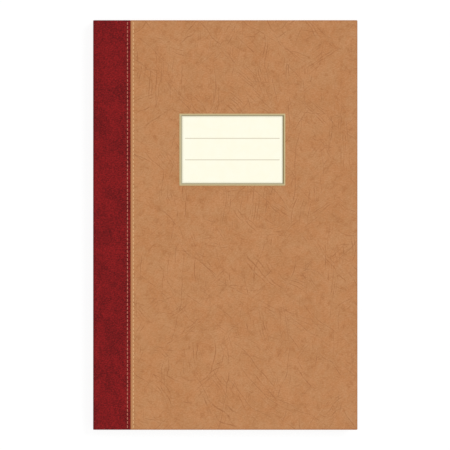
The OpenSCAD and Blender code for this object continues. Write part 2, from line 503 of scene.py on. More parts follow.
class Nodes:
    """Short calls that add shader nodes to a tree and join them."""

    def __init__(self, tree: bpy.types.NodeTree) -> None:
        """Work on one tree."""
        self.tree = tree

    def add(self, kind: str, inputs: dict | None = None, **settings: object) -> bpy.types.Node:
        """Add one node.

        Args:
            kind: The node's type without its ShaderNode prefix.
            inputs: Sockets or values by input name or number.
            settings: Properties of the node.

        Returns:
            The new node.
        """
        node = self.tree.nodes.new("ShaderNode" + kind)
        for name, value in settings.items():
            setattr(node, name, value)
        for name, value in (inputs or {}).items():
            self.put(node.inputs[name], value)
        return node

    def put(self, target: Socket, value: object) -> None:
        """Link a socket to an input, or set the input's value.

        Args:
            target: The input.
            value: A socket or a plain value.
        """
        if isinstance(value, Socket):
            self.tree.links.new(value, target)
        else:
            target.default_value = value

    def math(self, operation: str, *values: object) -> Socket:
        """Result of a math node."""
        return self.add("Math", dict(enumerate(values)), operation=operation).outputs[0]

    def times(self, value: Socket, factor: object) -> Socket:
        """A value times a factor."""
        return self.math("MULTIPLY", value, factor)

    def total(self, *terms: tuple[Socket, float]) -> Socket:
        """Sum of values, each times its weight."""
        return reduce(partial(self.math, "ADD"), [self.times(*term) for term in terms])

    def apart(self, first: object, second: object) -> Socket:
        """Distance between two values."""
        return self.math("ABSOLUTE", self.math("SUBTRACT", first, second))

    def ripple(self, value: Socket, pitch: object) -> Socket:
        """Rounded ridges, one every pitch: the size of a sine."""
        turns = self.times(self.math("DIVIDE", value, pitch), math.pi)
        return self.math("ABSOLUTE", self.math("SINE", turns))

    def span(self, value: Socket, low: float, high: float, start: float = 0.0, end: float = 1.0) -> Socket:
        """A value that goes smoothly from start at low to end at high, level outside."""
        return self.add("MapRange", {0: value, 1: low, 2: high, 3: start, 4: end},
                        interpolation_type="SMOOTHSTEP").outputs[0]

    def mix(self, share: object, first: Socket | Colour, second: Socket | Colour) -> Socket:
        """A colour between two others, each a socket or 8-bit display values."""
        ends = [end if isinstance(end, Socket) else linear(end) for end in (first, second)]
        return self.add("Mix", {0: share, 6: ends[0], 7: ends[1]}, data_type="RGBA").outputs[2]

    def tinted(self, colour: Socket | Colour, value: Socket, tint: Tint) -> Socket:
        """A colour with a tint laid over it by a value."""
        return self.mix(self.span(value, tint.low, tint.high, 0.0, tint.share), colour, tint.tone)

    def cells(self, place: Socket, scale: object) -> Socket:
        """Distance to the nearest cell's centre over a plane."""
        return self.add("TexVoronoi", {"Vector": place, "Scale": scale},
                        voronoi_dimensions="2D").outputs["Distance"]

    def turned(self, place: Socket, degrees: float, scale: Plan = (1.0, 1.0),
               shift: Plan = (0.0, 0.0)) -> Socket:
        """A place turned in its plane, stretched and shifted.

        Args:
            place: The place.
            degrees: Angle of the turn.
            scale: Stretch along the two turned axes.
            shift: Move along them.

        Returns:
            The new place.
        """
        aimed = self.add("VectorRotate", {"Vector": place, "Angle": math.radians(degrees)},
                         rotation_type="Z_AXIS").outputs[0]
        return self.add("Mapping", {"Vector": aimed, "Scale": (*scale, 1.0),
                                    "Location": (*shift, 0.0)}).outputs[0]

    def strayed(self, place: Socket, scale: float, amount: float) -> Socket:
        """A place moved by soft noise, so that straight patterns on it bend.

        Args:
            place: Place in millimetres.
            scale: Waves of the noise for each millimetre.
            amount: Full swing of the move in millimetres.

        Returns:
            The moved place.
        """
        noise = self.add("TexNoise", {"Vector": place, "Scale": scale, "Detail": 1.0}, noise_dimensions="2D")
        swing = self.add("VectorMath", {0: noise.outputs["Color"], 1: (0.5, 0.5, 0.5)}, operation="SUBTRACT")
        return self.add("VectorMath", {0: swing.outputs[0], 1: (amount, amount, 0.0), 2: place},
                        operation="MULTIPLY_ADD").outputs[0]

    def parts(self, place: Socket) -> tuple[Socket, Socket, Socket]:
        """The three coordinates of a place."""
        return tuple(self.add("SeparateXYZ", {0: place}).outputs)

    def place(self, coordinates: Coordinates) -> Socket:
        """Place on the piece in millimetres.

        Args:
            coordinates: What the place follows.

        Returns:
            The place.
        """
        if coordinates is Coordinates.SURFACE:
            source = self.add("UVMap", uv_map=SURFACE).outputs[0]
        else:
            source = self.add("TexCoord").outputs["Object"]
        return self.add("VectorMath", {0: source, "Scale": 1.0 / MM}, operation="SCALE").outputs[0]

    def effect(self, effect: "Effect", **inputs: object) -> Sockets:
        """Outputs of a shared effect that is placed in this tree with its own values."""
        return self.add("Group", inputs, node_tree=effect.tree()).outputs

    def edge_shade(self) -> Socket:
        """How far painted shade darkens an edge, from 0 to 1."""
        return self.add("Attribute", attribute_name=EDGE_SHADE).outputs["Fac"]

    def surface(self, colour: Socket, height: Socket, shine: Shine, value: Socket | None = None) -> None:
        """Finish a material with one shader.

        Args:
            colour: Base colour.
            height: Height of the fine relief, from 0 to 1.
            shine: Roughness, relief and mirror light.
            value: What the roughness follows, if not the height.
        """
        rough = self.span(height if value is None else value, *shine.over, *shine.rough)
        bump = self.add("Bump", {"Height": height, "Distance": shine.depth, "Strength": shine.strength})
        shader = self.add("BsdfPrincipled", {"Base Color": colour, "Roughness": rough,
                                             "Normal": bump.outputs[0], "Specular IOR Level": shine.mirror})
        self.add("OutputMaterial", {"Surface": shader.outputs[0]})


@dataclass(frozen=True)
class Noise:
    """One layer of soft noise over a plane.

    waves counts its waves for each millimetre, or is a factor of a scale that is given. The place is turned,
    stretched and shifted where degrees are set, so that no two layers fall together.
    """

    waves: float = 1.0
    detail: float = 2.0
    rough: float = 0.5
    swirl: float = 0.0
    degrees: float = 0.0
    stretch: Plan = (1.0, 1.0)
    shift: Plan = (0.0, 0.0)

    def draw(self, nodes: Nodes, place: Socket, scale: Socket | None = None) -> Socket:
        """Work out the noise.

        Args:
            nodes: Tree to work in.
            place: Place in millimetres.
            scale: Waves for each millimetre that this layer's waves are a factor of.

        Returns:
            The noise, from 0 to 1.
        """
        if self.degrees:
            place = nodes.turned(place, self.degrees, self.stretch, self.shift)
        waves = self.waves if scale is None else nodes.times(scale, self.waves)
        return nodes.add("TexNoise", {"Vector": place, "Scale": waves, "Detail": self.detail,
                                      "Roughness": self.rough, "Distortion": self.swirl},
                         noise_dimensions="2D").outputs[0]


@dataclass(frozen=True)
class Effect:
    """A shared node group that is built once; its input Place is in millimetres."""

    name: str
    inputs: tuple[str, ...]
    outputs: tuple[str, ...]

    def tree(self) -> bpy.types.NodeTree:
        """The group's tree, filled on first use.

        Returns:
            The node group.
        """
        found = bpy.data.node_groups.get(self.name)
        if found:
            return found
        tree = bpy.data.node_groups.new(self.name, "ShaderNodeTree")
        for name in self.inputs:
            kind = "NodeSocketVector" if name == "Place" else "NodeSocketFloat"
            tree.interface.new_socket(name, in_out="INPUT", socket_type=kind)
        for name in self.outputs:
            tree.interface.new_socket(name, in_out="OUTPUT", socket_type="NodeSocketFloat")
        nodes = Nodes(tree)
        values = self.fill(nodes, tree.nodes.new("NodeGroupInput").outputs)
        out = tree.nodes.new("NodeGroupOutput")
        for name, value in zip(self.outputs, values):
            nodes.put(out.inputs[name], value)
        return tree

    def fill(self, nodes: Nodes, given: Sockets) -> tuple[Socket, ...]:
        """Work out the outputs, in their order, from the given inputs."""
        raise NotImplementedError


@dataclass(frozen=True)
class HideEffect(Effect):
    """Leather look: wide clouds, a drift of hue, smaller blotches, short dashes and fine pores.

    Cloud and Grain are given in waves for each millimetre.
    """

    name: str = "hide"
    inputs: tuple[str, ...] = ("Place", "Cloud", "Grain")
    outputs: tuple[str, ...] = ("Cloud", "Hue", "Blotch", "Dash", "Pore", "Height")
    wide: tuple[Noise, Noise, Noise] = (
        Noise(1.0, 3.0, 0.55, 0.5),
        Noise(1.7, 4.0, 0.7, degrees=-70.0, shift=(-91.0, 37.0)),
        Noise(4.0, 3.0, 0.65, 0.3, degrees=31.0, shift=(57.0, 23.0)),
    )
    fine: tuple[Noise, Noise] = (
        Noise(1.0, 0.0, degrees=-12.0, stretch=(0.5, 1.15), shift=(11.0, 3.0)),
        Noise(1.3, 0.0, degrees=31.0, shift=(57.0, 23.0)),
    )
    weights: tuple[float, float, float] = (0.4, 0.3, 0.3)

    def fill(self, nodes: Nodes, given: Sockets) -> tuple[Socket, ...]:
        """Wide noises for clouds, hue and blotches, fine ones for dashes and pores, and cells in the height.

        Args:
            nodes: Tree to work in.
            given: The inputs.

        Returns:
            The outputs in their order.
        """
        place, cloud, grain = (given[name] for name in self.inputs)
        wide = [layer.draw(nodes, place, cloud) for layer in self.wide]
        fine = [layer.draw(nodes, place, grain) for layer in self.fine]
        height = nodes.total(*zip((*fine, nodes.cells(place, grain)), self.weights))
        return (*wide, *fine, height)


@dataclass(frozen=True)
class Strokes:
    """Bundles of thin creases along one direction, with sizes in millimetres.

    The distance across the direction is counted in lines. Noise along each line, of its own for every line,
    moves it aside and keeps single strokes of it, and noise stretched along the lines keeps bundles of them.
    rare is the noise level from which a bundle shows, and shift makes each direction's pattern its own.
    line_step is how far apart two lines' own noises lie, and bundle counts the bundles along and across.
    """

    degrees: float
    spacing: float
    length: float
    rare: float
    shift: float
    swing: float = 1.1
    half_width: float = 0.45
    rim: tuple[float, float, float] = (0.4, 0.8, 1.3)
    kept: Plan = (0.46, 0.62)
    ramp: float = 0.14
    line_step: float = 5.3
    bundle: Plan = (0.55, 0.07)
    stray: Noise = Noise(2.3, 1.0)
    level: Noise = Noise()

    def draw(self, nodes: Nodes, place: Socket) -> tuple[Socket, Socket]:
        """Work out the creases.

        Args:
            nodes: Tree to work in.
            place: Place in millimetres.

        Returns:
            1 in the middle of a crease and 0 beside it, and 1 on the raised rim beside it, which the tan
            hide lightens as painted highlight.
        """
        aimed = nodes.turned(place, -self.degrees, shift=(self.shift, 1.7 * self.shift))
        along, across, _ = nodes.parts(aimed)
        phase = nodes.math("DIVIDE", across, self.spacing)
        number = nodes.math("ROUND", phase)
        own = nodes.add("CombineXYZ", {0: nodes.math("DIVIDE", along, self.length),
                                       1: nodes.times(number, self.line_step)}).outputs[0]
        aside = nodes.math("MULTIPLY_ADD", self.stray.draw(nodes, own), self.swing, -self.swing / 2)
        away = nodes.times(nodes.apart(nodes.math("SUBTRACT", phase, number), aside), self.spacing)
        stretch = (self.bundle[0] / self.length, self.bundle[1])
        wide = nodes.turned(place, -self.degrees, stretch, (3.0 * self.shift, self.shift))
        weight = nodes.times(nodes.span(self.level.draw(nodes, own), *self.kept),
                             nodes.span(self.level.draw(nodes, wide), self.rare, self.rare + self.ramp))
        near, top, far = self.rim
        crease = nodes.span(away, 0.0, self.half_width, 1.0, 0.0)
        flank = nodes.times(nodes.span(away, near, top), nodes.span(away, top, far, 1.0, 0.0))
        return nodes.times(crease, weight), nodes.times(flank, weight)


@dataclass(frozen=True)
class CreaseEffect(Effect):
    """Creases of a hide in several directions, long and short, on a place that is bent by noise."""

    name: str = "creases"
    inputs: tuple[str, ...] = ("Place",)
    outputs: tuple[str, ...] = ("Crease", "Flank")
    strays: tuple[Plan, ...] = ((0.013, 26.0), (0.07, 1.8), (0.32, 0.55))
    layers: tuple[Strokes, ...] = (
        Strokes(-40.0, 5.0, 60.0, 0.51, 3.0),
        Strokes(-52.0, 2.4, 30.0, 0.51, 17.0),
        Strokes(-30.0, 3.2, 36.0, 0.54, 29.0),
        Strokes(88.0, 2.1, 26.0, 0.52, 41.0),
        Strokes(80.0, 4.0, 44.0, 0.53, 71.0),
        Strokes(42.0, 2.4, 24.0, 0.54, 97.0),
        Strokes(-6.0, 3.6, 22.0, 0.55, 131.0),
    )
    breaks: Noise = Noise(0.2)
    broken: tuple[float, float, float, float] = (0.33, 0.6, 0.35, 1.0)

    def fill(self, nodes: Nodes, given: Sockets) -> tuple[Socket, ...]:
        """The strongest of all layers, broken up by noise.

        Args:
            nodes: Tree to work in.
            given: The inputs.

        Returns:
            The outputs in their order.
        """
        place = given["Place"]
        broken = nodes.span(self.breaks.draw(nodes, place), *self.broken)
        for scale, amount in self.strays:
            place = nodes.strayed(place, scale, amount)
        drawn = zip(*(layer.draw(nodes, place) for layer in self.layers))
        return tuple(nodes.times(reduce(partial(nodes.math, "MAXIMUM"), values), broken) for values in drawn)


@dataclass(frozen=True)
class FibreEffect(Effect):
    """Paper look: clouds, short fibres and flecks."""

    name: str = "fibre"
    inputs: tuple[str, ...] = ("Place",)
    outputs: tuple[str, ...] = ("Cloud", "Fleck", "Height")
    cloud: Noise = Noise(0.12, 4.0, 0.6)
    fleck: Noise = Noise(2.2, 1.0)
    peaks: Plan = (0.66, 0.78)
    fibres: tuple[Noise, Noise] = (
        Noise(rough=0.6, degrees=20.0, stretch=(0.6, 3.0), shift=(5.0, 0.0)),
        Noise(rough=0.6, degrees=-65.0, stretch=(0.6, 3.0), shift=(0.0, 9.0)),
    )

    def fill(self, nodes: Nodes, given: Sockets) -> tuple[Socket, ...]:
        """Wide noise for clouds, two crossing stretched noises for fibres, peaks of a fine one for flecks.

        Args:
            nodes: Tree to work in.
            given: The inputs.

        Returns:
            The outputs in their order.
        """
        place = given["Place"]
        fleck = nodes.span(self.fleck.draw(nodes, place), *self.peaks)
        height = nodes.total(*((layer.draw(nodes, place), 0.5) for layer in self.fibres))
        return self.cloud.draw(nodes, place), fleck, height


@dataclass(frozen=True)
class PlyEffect(Effect):
    """Twisted thread: slanted ridges from the place along and round it. Lay is one twist in millimetres."""

    name: str = "ply"
    inputs: tuple[str, ...] = ("Place", "Lay")
    outputs: tuple[str, ...] = ("Height",)
    slant: float = 0.6
    fuzz: Noise = Noise(5.0)
    weights: Plan = (0.8, 0.2)

    def fill(self, nodes: Nodes, given: Sockets) -> tuple[Socket, ...]:
        """Ridges on the slant with a little fuzz.

        Args:
            nodes: Tree to work in.
            given: The inputs.

        Returns:
            The outputs in their order.
        """
        place, lay = (given[name] for name in self.inputs)
        along, around, _ = nodes.parts(place)
        ridge = nodes.ripple(nodes.total((along, 1.0), (around, self.slant)), lay)
        return (nodes.total(*zip((ridge, self.fuzz.draw(nodes, place)), self.weights)),)


@dataclass(frozen=True)
class Finish:
    """A named procedural material."""

    name: str

    def material(self) -> bpy.types.Material:
        """The material, made on first use.

        Returns:
            The material.
        """
        found = bpy.data.materials.get(self.name)
        if found:
            return found
        made = bpy.data.materials.new(self.name)
        made.use_nodes = True
        made.node_tree.nodes.clear()
        self.shade(Nodes(made.node_tree))
        return made

    def shade(self, nodes: Nodes) -> None:
        """Fill the material's tree."""
        raise NotImplementedError


@dataclass(frozen=True)
class Hide(Finish):
    """Leather look; its tints follow the outputs of the shared effect.

    waves are the effect's cloud and grain scales, and the roughness follows its pores.
    """

    tints: tuple[tuple[str, Tint], ...]
    waves: Plan
    # painted shade laid on rounded edges: its colour and its full share
    edge_shade_tone: Colour
    edge_shade_share: float
    shine: Shine

    def grain(self, nodes: Nodes, place: Socket) -> Sockets:
        """Outputs of the shared effect with this hide's own scales."""
        return nodes.effect(HideEffect(), Place=place, Cloud=self.waves[0], Grain=self.waves[1])

    def close(self, nodes: Nodes, colour: Socket, hide: Sockets, height: Socket) -> None:
        """Darken the rounded edges with painted shade and finish the shader with a relief of this height."""
        # painted shade on rounded edges and on the spine's shoulder
        colour = nodes.mix(nodes.times(nodes.edge_shade(), self.edge_shade_share), colour, self.edge_shade_tone)
        nodes.surface(colour, height, self.shine, hide["Pore"])


@dataclass(frozen=True)
class TanHide(Hide):
    """Tan leather look with a folded hem beside the seam; surface u is the distance from the seam."""

    pale: tuple[Colour, Colour] = ((189, 135, 90), (192, 134, 88))
    ruddy: tuple[Colour, Colour] = ((184, 128, 82), (187, 127, 80))
    blotch: Colour = (166, 107, 62)
    glint: Colour = (205, 154, 114)
    # painted shade in the creases
    crease: Colour = (152, 96, 56)
    clouds: Plan = (0.32, 0.68)
    hues: Plan = (0.38, 0.62)
    # shares of the painted highlight on crease rims and of the painted shade in creases
    flank_highlight_share: float = 0.12
    crease_shade_share: float = 0.72
    crease_depth: float = 0.3
    # painted highlight: the raised hem beside the seam lightened as if catching the light
    hem: Tint = Tint(2.2, 1.7, 0.75, (188, 140, 97))
    # painted shade: darker line along the rolled tan edge at the seam
    seam_shade: Tint = Tint(1.3, 0.55, 0.85, (180, 115, 71))
    waves: Plan = (0.045, 0.95)
    # painted shade on the rounded edges
    edge_shade_tone: Colour = (158, 97, 56)
    edge_shade_share: float = 0.6
    shine: Shine = Shine((0.2, 0.8), (0.52, 0.68), 0.12 * MM, 0.35, 0.12)
    tints: tuple[tuple[str, Tint], ...] = (
        ("Blotch", Tint(0.53, 0.72, 0.50, blotch)),
        ("Blotch", Tint(0.48, 0.28, 0.18, glint)),
        ("Dash", Tint(0.50, 0.25, 0.18, blotch)),
        ("Dash", Tint(0.50, 0.75, 0.16, glint)),
        ("Pore", Tint(0.50, 0.25, 0.18, blotch)),
        ("Pore", Tint(0.50, 0.75, 0.16, glint)),
    )

    def shade(self, nodes: Nodes) -> None:
        """Mottled tan with ruddy blotches and fine grain, creases in painted shade with painted highlight on
        their rims, a hem lightened as painted highlight, and painted shade on the seam edge and the rounded
        edges.

        Args:
            nodes: The material's tree.
        """
        place = nodes.place(Coordinates.SURFACE)
        hide = self.grain(nodes, place)
        folds = nodes.effect(CreaseEffect(), Place=place)
        cloud = nodes.span(hide["Cloud"], *self.clouds)
        cool, warm = (nodes.mix(cloud, pale, ruddy) for pale, ruddy in zip(self.pale, self.ruddy))
        colour = nodes.mix(nodes.span(hide["Hue"], *self.hues), cool, warm)
        for name, tint in self.tints:
            colour = nodes.tinted(colour, hide[name], tint)
        # painted highlight on the crease rims, painted shade in the creases
        colour = nodes.mix(nodes.times(folds["Flank"], self.flank_highlight_share), colour, self.glint)
        colour = nodes.mix(nodes.times(folds["Crease"], self.crease_shade_share), colour, self.crease)
        out, _, _ = nodes.parts(place)
        # painted highlight on the hem, then painted shade on the rolled seam edge
        for tint in (self.hem, self.seam_shade):
            colour = nodes.tinted(colour, out, tint)
        sunk = nodes.times(folds["Crease"], self.crease_depth)
        self.close(nodes, colour, hide, nodes.math("SUBTRACT", hide["Height"], sunk))


@dataclass(frozen=True)
class RedHide(Hide):
    """Red leather look, clouded and speckled; surface u is the distance from the middle of the spine."""

    bright: Colour = (129, 23, 25)
    deep: Colour = (99, 17, 19)
    speck: Colour = (70, 9, 13)
    glint: Colour = (166, 33, 34)
    weights: Plan = (0.6, 0.4)
    clouds: Plan = (0.36, 0.64)
    row: float = 34.35
    row_shade: Tint = Tint(1.1, 0.4, 0.2, speck)
    waves: Plan = (0.07, 1.15)
    # painted shade on the rounded edges and the spine's shoulder
    edge_shade_tone: Colour = (96, 13, 18)
    edge_shade_share: float = 0.5
    shine: Shine = Shine((0.2, 0.8), (0.5, 0.66), 0.12 * MM, 0.35, 0.08)
    tints: tuple[tuple[str, Tint], ...] = (
        ("Dash", Tint(0.50, 0.25, 0.36, speck)),
        ("Dash", Tint(0.50, 0.75, 0.36, glint)),
        ("Pore", Tint(0.50, 0.25, 0.38, speck)),
        ("Pore", Tint(0.50, 0.75, 0.38, glint)),
    )

    def shade(self, nodes: Nodes) -> None:
        """Bright and deep red clouds with small dark specks, deeper along the row of stitches.

        Args:
            nodes: The material's tree.
        """
        place = nodes.place(Coordinates.SURFACE)
        hide = self.grain(nodes, place)
        cloud = nodes.total(*zip((hide["Cloud"], hide["Blotch"]), self.weights))
        colour = nodes.mix(nodes.span(cloud, *self.clouds), self.bright, self.deep)
        for name, tint in self.tints:
            colour = nodes.tinted(colour, hide[name], tint)
        out, _, _ = nodes.parts(place)
        away = nodes.apart(nodes.math("ABSOLUTE", out), self.row)
        self.close(nodes, nodes.tinted(colour, away, self.row_shade), hide, hide["Height"])


@dataclass(frozen=True)
class Thread(Finish):
    """Twisted thread; surface u runs along it and v round it."""

    tone: Colour
    shadow: Colour
    lay: float = 0.62
    plies: Plan = (0.15, 0.6)
    shine: Shine = Shine((0.1, 0.9), (0.85, 0.7), 0.08 * MM, 0.6, 0.15)

    def shade(self, nodes: Nodes) -> None:
        """Pale ridges and darker gaps between the twisted plies.

        Args:
            nodes: The material's tree.
        """
        height = nodes.effect(PlyEffect(), Place=nodes.place(Coordinates.SURFACE), Lay=self.lay)["Height"]
        colour = nodes.mix(nodes.span(height, *self.plies), self.shadow, self.tone)
        nodes.surface(colour, height, self.shine)


@dataclass(frozen=True)
class Paper(Finish):
    """Uncoated paper or board."""

    tone: Colour
    cloud: Colour
    fleck: Colour
    fleck_share: float
    coordinates: Coordinates = Coordinates.SURFACE
    clouds: Plan = (0.3, 0.7)
    shine: Shine = Shine((0.3, 0.7), (0.72, 0.88), 0.03 * MM, 0.4, 0.2)

    def stock(self, nodes: Nodes) -> tuple[Socket, Socket, Socket]:
        """Bare paper.

        Args:
            nodes: The material's tree.

        Returns:
            The colour, the height of the fibres and the place in millimetres.
        """
        place = nodes.place(self.coordinates)
        fibre = nodes.effect(FibreEffect(), Place=place)
        colour = nodes.mix(nodes.span(fibre["Cloud"], *self.clouds), self.tone, self.cloud)
        colour = nodes.mix(nodes.times(fibre["Fleck"], self.fleck_share), colour, self.fleck)
        return colour, fibre["Height"], place

    def shade(self, nodes: Nodes) -> None:
        """Clouded paper with flecks and a fibre relief."""
        colour, height, _ = self.stock(nodes)
        nodes.surface(colour, height, self.shine)


@dataclass(frozen=True)
class RuledPaper(Paper):
    """Writing paper with pale ruled lines along surface u, which is 0 at the fold."""

    line: Colour = (166, 184, 203)
    pitch: float = 8.0
    width: Plan = (0.22, 0.10)
    share: float = 0.8
    reach: Plan = (206.8, 146.0)

    def shade(self, nodes: Nodes) -> None:
        """Paper with one thin line every pitch, which stops just short of the edges.

        Args:
            nodes: The material's tree.
        """
        colour, height, place = self.stock(nodes)
        along, up, _ = nodes.parts(place)
        ruled = nodes.span(nodes.math("PINGPONG", up, self.pitch / 2), *self.width, 0.0, self.share)
        limits = [nodes.math("LESS_THAN", nodes.math("ABSOLUTE", way), reach)
                  for way, reach in zip((along, up), self.reach)]
        colour = nodes.mix(nodes.times(ruled, nodes.math("MINIMUM", *limits)), colour, self.line)
        nodes.surface(colour, height, self.shine)


@dataclass(frozen=True)
class Gauze(Finish):
    """Open plain weave."""

    tone: Colour = (226, 219, 201)
    gap: Colour = (172, 160, 138)
    pitch: float = 1.1
    gaps: Plan = (0.45, 0.85)
    shine: Shine = Shine((0.3, 1.0), (0.95, 0.8), 0.12 * MM, 0.7, 0.1)

    def shade(self, nodes: Nodes) -> None:
        """Two crossing sets of threads with darker gaps.

        Args:
            nodes: The material's tree.
        """
        ways = nodes.parts(nodes.place(Coordinates.SURFACE))[:2]
        height = nodes.math("MAXIMUM", *(nodes.ripple(way, self.pitch) for way in ways))
        colour = nodes.mix(nodes.span(height, *self.gaps), self.gap, self.tone)
        nodes.surface(colour, height, self.shine)


@dataclass(frozen=True)
class BandCloth(Finish):
    """Wound head and tail band; surface u runs along the bead."""

    first: Colour = (150, 36, 38)
    second: Colour = (233, 222, 196)
    # painted shade in the low gaps between the plies
    gap: Tint = Tint(0.5, 0.1, 0.3, (70, 25, 24))
    stripe: float = 1.15
    change: Plan = (-0.15, 0.15)
    lay: float = 0.3
    shine: Shine = Shine((0.1, 0.9), (0.75, 0.55), 0.06 * MM, 0.5, 0.2)

    def shade(self, nodes: Nodes) -> None:
        """Alternating wound stripes of fine thread, with painted shade in the gaps between the plies.

        Args:
            nodes: The material's tree.
        """
        place = nodes.place(Coordinates.SURFACE)
        along, _, _ = nodes.parts(place)
        wave = nodes.math("SINE", nodes.times(along, math.pi / self.stripe))
        height = nodes.effect(PlyEffect(), Place=place, Lay=self.lay)["Height"]
        colour = nodes.mix(nodes.span(wave, *self.change), self.first, self.second)
        nodes.surface(nodes.tinted(colour, height, self.gap), height, self.shine)


@dataclass(frozen=True)
class Moulding(Finish):
    """Printed label frame; surface u is the distance out from the opening, v the painted shade from -1 to 1.
    """

    band: Colour = (200, 180, 134)
    cloud: Tint = Tint(0.3, 0.7, 0.25, (190, 168, 122))
    lit: Colour = (180, 171, 140)
    dim: Colour = (125, 112, 74)
    shade_power: float = 0.5
    edge: Plan = (1.03, 1.27)
    shine: Shine = Shine((0.3, 0.7), (0.55, 0.7), 0.02 * MM, 0.3, 0.25)

    def shade(self, nodes: Nodes) -> None:
        """Khaki band with an olive inner line that is darker on the sides facing away from a painted light.

        Args:
            nodes: The material's tree.
        """
        out, shade, _ = nodes.parts(nodes.place(Coordinates.SURFACE))
        fibre = nodes.effect(FibreEffect(), Place=nodes.place(Coordinates.OBJECT))
        turned = nodes.times(nodes.math("ADD", shade, 1.0), 0.5)
        # painted light: the inner line is lit or dim by the side it faces
        inner = nodes.mix(nodes.math("POWER", turned, self.shade_power), self.dim, self.lit)
        band = nodes.tinted(self.band, fibre["Cloud"], self.cloud)
        nodes.surface(nodes.mix(nodes.span(out, *self.edge), inner, band), fibre["Height"], self.shine)


@dataclass(frozen=True)
class TitleCard(Finish):
    """Cream title card with two ruled lines, placed in the row frame in millimetres.

    soft is half the blurred width of the lines' ends and of their edges.
    """

    tone: Colour = (255, 253, 233)
    cloud: Colour = (255, 252, 230)
    clouds: Plan = (0.3, 0.7)
    line: Colour = (216, 207, 184)
    # painted shade on the card along the inside of the frame
    frame_shade: Tint = Tint(1.5, 0.0, 0.8, (228, 222, 198))
    middle: Plan = (5.7, 60.7)
    half: Plan = (40.45, 26.95)
    lines_y: Plan = (69.8, 52.5)
    lines_x: Plan = (-32.4, 43.8)
    line_half: float = 0.34
    soft: Plan = (0.3, 0.1)
    shine: Shine = Shine((0.3, 0.7), (0.5, 0.62), 0.015 * MM, 0.3, 0.2)

    def inside(self, nodes: Nodes, way: Socket, middle: float, half: float, soft: float) -> Socket:
        """1 within half a width of a middle and 0 outside, over a soft edge."""
        return nodes.span(nodes.apart(way, middle), half - soft, half + soft, 1.0, 0.0)

    def shade(self, nodes: Nodes) -> None:
        """Cream paper with painted shade along the frame, with two thin lines that stop short of it.

        Args:
            nodes: The material's tree.
        """
        place = nodes.place(Coordinates.OBJECT)
        across, up, _ = nodes.parts(place)
        fibre = nodes.effect(FibreEffect(), Place=place)
        colour = nodes.mix(nodes.span(fibre["Cloud"], *self.clouds), self.tone, self.cloud)
        sides = [nodes.math("SUBTRACT", half, nodes.apart(way, middle))
                 for way, middle, half in zip((across, up), self.middle, self.half)]
        # painted shade along the frame
        colour = nodes.tinted(colour, nodes.math("MINIMUM", *sides), self.frame_shade)
        start, end = self.lines_x
        reach = self.inside(nodes, across, (start + end) / 2, (end - start) / 2, self.soft[0])
        for level in self.lines_y:
            ruled = self.inside(nodes, up, level, self.line_half, self.soft[1])
            colour = nodes.mix(nodes.times(ruled, reach), colour, self.line)
        nodes.surface(colour, fibre["Height"], self.shine)


GREY = ((142, 137, 129), (130, 125, 116), (96, 92, 86), 0.7)
LINEN = ((240, 236, 224), (228, 222, 206), (206, 198, 178), 0.5)
BROWN = ((170, 134, 88), (156, 120, 76), (120, 88, 52), 0.6)

TAN_HIDE = TanHide("tan leather look")
RED_HIDE = RedHide("red leather look")
RED_ROW_THREAD = Thread("pink beige thread", (193, 117, 98), (140, 68, 57))
TAN_ROW_THREAD = Thread("straw thread", (226, 181, 131), (190, 145, 101))
SEWING_THREAD = Paper("linen thread", *LINEN, Coordinates.OBJECT)
GREYBOARD = Paper("grey board", *GREY)
SPINE_CARD = Paper("grey card", *GREY, Coordinates.OBJECT)
KRAFT = Paper("kraft paper", *BROWN, Coordinates.OBJECT)
ENDPAPER = Paper("cream endpaper", (240, 234, 218), (233, 225, 206), (215, 204, 182), 0.35)
PAGE_PAPER = RuledPaper("ruled page paper", (247, 243, 231), (244, 239, 226), (233, 226, 209), 0.2)
GAUZE = Gauze("binder gauze")
BAND_CLOTH = BandCloth("wound band")
MOULDING = Moulding("label moulding")
TITLE_CARD = TitleCard("title card")


